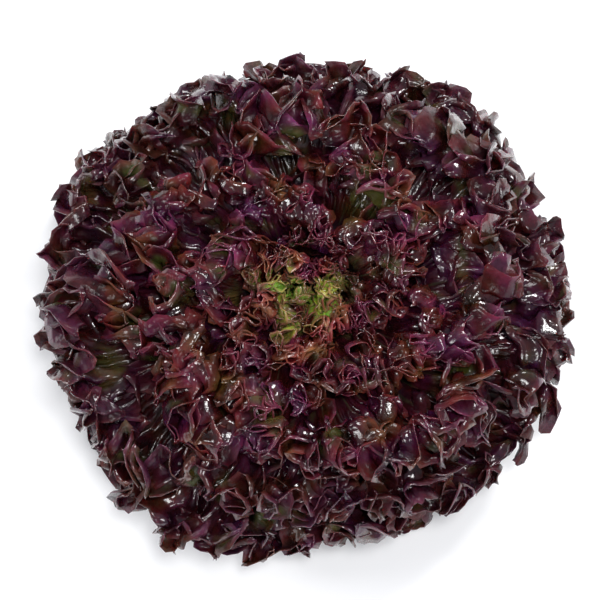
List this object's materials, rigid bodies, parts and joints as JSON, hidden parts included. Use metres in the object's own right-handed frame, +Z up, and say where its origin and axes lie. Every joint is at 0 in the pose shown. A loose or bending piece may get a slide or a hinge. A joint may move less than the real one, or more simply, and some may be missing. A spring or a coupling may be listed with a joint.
{
  "type": "head of lettuce",
  "caption": "Head of frilled red lettuce: waved burgundy leaves in a spiral round a yellow-green heart, standing on its cut stem.",
  "frame": {"origin": "centre of the stem's cut face, which lies on the surface that the head stands on", "axes": "+Z up out of the cut, +X to the right and -Y towards the viewer of the reference picture"},
  "size_m": [0.2723, 0.2669, 0.1297],
  "materials": {
    "outer_leaf": "glossy waxy leaf, dark burgundy",
    "inner_leaf": "glossy waxy leaf, wine red",
    "heart_leaf": "satin young leaf, yellow-green",
    "stem": "satin cut stem, pale green"
  },
  "bodies": {
    "root": {"stem": "stem", "outer_leaf_01": "outer_leaf", "outer_leaf_02": "outer_leaf", "outer_leaf_03": "outer_leaf", "outer_leaf_04": "outer_leaf", "outer_leaf_05": "outer_leaf", "outer_leaf_06": "outer_leaf", "outer_leaf_07": "outer_leaf", "outer_leaf_08": "outer_leaf", "outer_leaf_09": "outer_leaf", "outer_leaf_10": "outer_leaf", "outer_leaf_11": "outer_leaf", "outer_leaf_12": "outer_leaf", "outer_leaf_13": "outer_leaf", "outer_leaf_14": "outer_leaf", "outer_leaf_15": "outer_leaf", "outer_leaf_16": "outer_leaf", "outer_leaf_17": "outer_leaf", "outer_leaf_18": "outer_leaf", "outer_leaf_19": "outer_leaf", "outer_leaf_20": "outer_leaf", "outer_leaf_21": "outer_leaf", "outer_leaf_22": "outer_leaf", "outer_leaf_23": "outer_leaf", "inner_leaf_24": "inner_leaf", "inner_leaf_25": "inner_leaf", "inner_leaf_26": "inner_leaf", "inner_leaf_27": "inner_leaf", "inner_leaf_28": "inner_leaf", "inner_leaf_29": "inner_leaf", "inner_leaf_30": "inner_leaf", "inner_leaf_31": "inner_leaf", "inner_leaf_32": "inner_leaf", "inner_leaf_33": "inner_leaf", "inner_leaf_34": "inner_leaf", "inner_leaf_35": "inner_leaf", "inner_leaf_36": "inner_leaf", "inner_leaf_37": "inner_leaf", "inner_leaf_38": "inner_leaf", "inner_leaf_39": "inner_leaf", "inner_leaf_40": "inner_leaf", "inner_leaf_41": "inner_leaf", "heart_leaf_42": "heart_leaf", "heart_leaf_43": "heart_leaf", "heart_leaf_44": "heart_leaf", "heart_leaf_45": "heart_leaf", "heart_leaf_46": "heart_leaf", "heart_leaf_47": "heart_leaf", "heart_leaf_48": "heart_leaf", "heart_leaf_49": "heart_leaf", "heart_leaf_50": "heart_leaf"}
  },
  "joints": []
}
